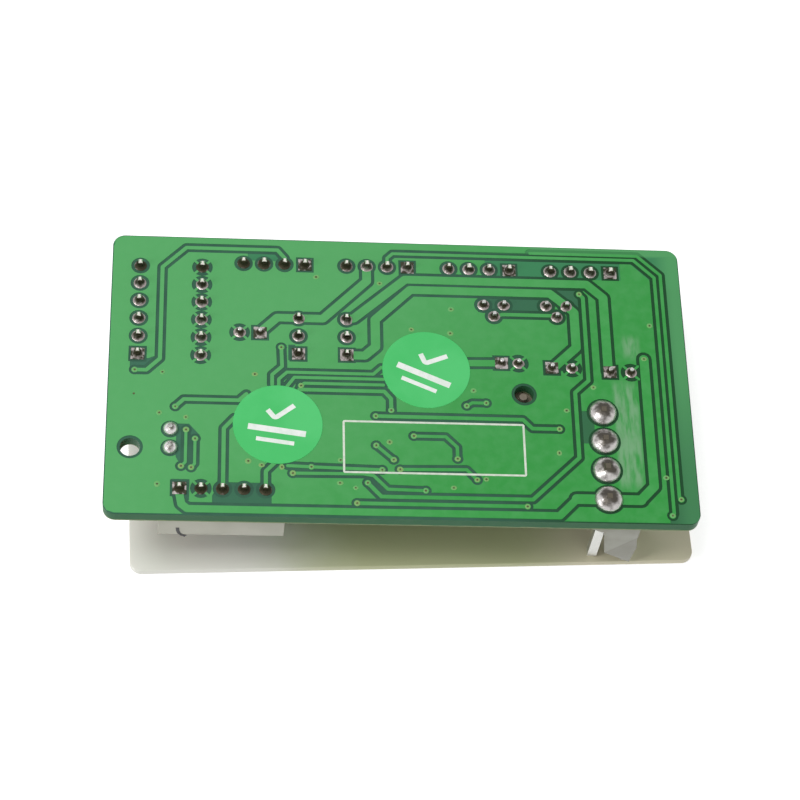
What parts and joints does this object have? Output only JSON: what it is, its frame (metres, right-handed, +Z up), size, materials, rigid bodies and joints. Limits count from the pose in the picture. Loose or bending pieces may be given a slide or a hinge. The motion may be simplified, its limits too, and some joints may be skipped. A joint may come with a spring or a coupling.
{
  "type": "component tester",
  "caption": "Small component tester module: a circuit board lying solder side up on a milky base plate, with plug ports, a selector switch and jumpers beneath it.",
  "frame": {"origin": "on the base plate's underside, below the centre of the circuit board", "axes": "+X along the board towards the power header, +Y towards the row of ports, +Z up out of the solder side"},
  "size_m": [0.0729, 0.0397, 0.0167],
  "materials": {
    "milky_sheet": "satin, translucent",
    "green_laminate": "glossy solder mask over copper",
    "natural_nylon": "translucent, satin",
    "white_nylon": "satin",
    "blue_plastic": "moulded",
    "black_plastic": "moulded",
    "black_rubber": "matt",
    "tinned_metal": "bright tin",
    "gold_metal": "thin gold flash",
    "solder": "reflowed, semi-bright",
    "can_sleeve": "shrunk sleeve",
    "red_lens": "diffused tinted",
    "chip_ceramic": "glazed",
    "chip_capacitor_ceramic": "fired ceramic",
    "green_sticker": "printed paper"
  },
  "bodies": {
    "base": {"base_plate": "milky_sheet", "support_post": "natural_nylon"},
    "board": {"board": "green_laminate", "signal_solder": "solder", "power_solder": "solder", "dip_base": "black_plastic", "dip_cover": "blue_plastic", "dip_terminals": "tinned_metal", "port_1_shroud": "white_nylon", "port_2_shroud": "white_nylon", "port_3_shroud": "white_nylon", "port_4_shroud": "white_nylon", "port_1_pins": "tinned_metal", "port_2_pins": "tinned_metal", "port_3_pins": "tinned_metal", "port_4_pins": "tinned_metal", "data_header_shroud": "white_nylon", "data_header_pins": "tinned_metal", "power_header_base": "natural_nylon", "power_header_pins": "tinned_metal", "jumper_1_base": "black_plastic", "jumper_1_pins": "gold_metal", "jumper_2_base": "black_plastic", "jumper_2_pins": "gold_metal", "capacitor_1_can": "can_sleeve", "capacitor_2_can": "can_sleeve", "capacitor_3_can": "can_sleeve", "capacitor_4_can": "can_sleeve", "capacitor_bungs": "black_rubber", "capacitor_leads": "tinned_metal", "transistor_1_case": "black_plastic", "transistor_2_case": "black_plastic", "transistor_1_leads": "tinned_metal", "transistor_2_leads": "tinned_metal", "status_lamp_lens": "red_lens", "status_lamp_leads": "tinned_metal", "controller_case": "black_plastic", "controller_leads": "tinned_metal", "regulator_case": "black_plastic", "regulator_leads": "tinned_metal", "chip_resistors": "chip_ceramic", "chip_capacitors": "chip_capacitor_ceramic", "sticker_left": "green_sticker", "sticker_centre": "green_sticker"},
    "slider_1": {"slider_1": "white_nylon"},
    "slider_2": {"slider_2": "white_nylon"},
    "slider_3": {"slider_3": "white_nylon"},
    "slider_4": {"slider_4": "white_nylon"},
    "slider_5": {"slider_5": "white_nylon"},
    "slider_6": {"slider_6": "white_nylon"},
    "shunt_1": {"jumper_1_shunt": "black_plastic", "jumper_1_contact": "gold_metal"},
    "shunt_2": {"jumper_2_shunt": "black_plastic", "jumper_2_contact": "gold_metal"}
  },
  "joints": [
    {"name": "board_swivel", "type": "hinge", "parent": "base", "child": "board", "pos_m": [0.015, -0.00205, 0.0138], "axis": [0, 0, 1], "range_deg": [-3, 2.4]},
    {"name": "slider_1_throw", "type": "slide", "parent": "board", "child": "slider_1", "axis": [1, 0, 0], "range_m": [0, 0.0011]},
    {"name": "slider_2_throw", "type": "slide", "parent": "board", "child": "slider_2", "axis": [1, 0, 0], "range_m": [0, 0.0011]},
    {"name": "slider_3_throw", "type": "slide", "parent": "board", "child": "slider_3", "axis": [1, 0, 0], "range_m": [0, 0.0011]},
    {"name": "slider_4_throw", "type": "slide", "parent": "board", "child": "slider_4", "axis": [1, 0, 0], "range_m": [0, 0.0011]},
    {"name": "slider_5_throw", "type": "slide", "parent": "board", "child": "slider_5", "axis": [1, 0, 0], "range_m": [0, 0.0011]},
    {"name": "slider_6_throw", "type": "slide", "parent": "board", "child": "slider_6", "axis": [1, 0, 0], "range_m": [0, 0.0011]},
    {"name": "shunt_1_pull", "type": "slide", "parent": "board", "child": "shunt_1", "axis": [0, 0, -1], "range_m": [0, 0.0035]},
    {"name": "shunt_2_pull", "type": "slide", "parent": "board", "child": "shunt_2", "axis": [0, 0, -1], "range_m": [0, 0.0035]}
  ]
}
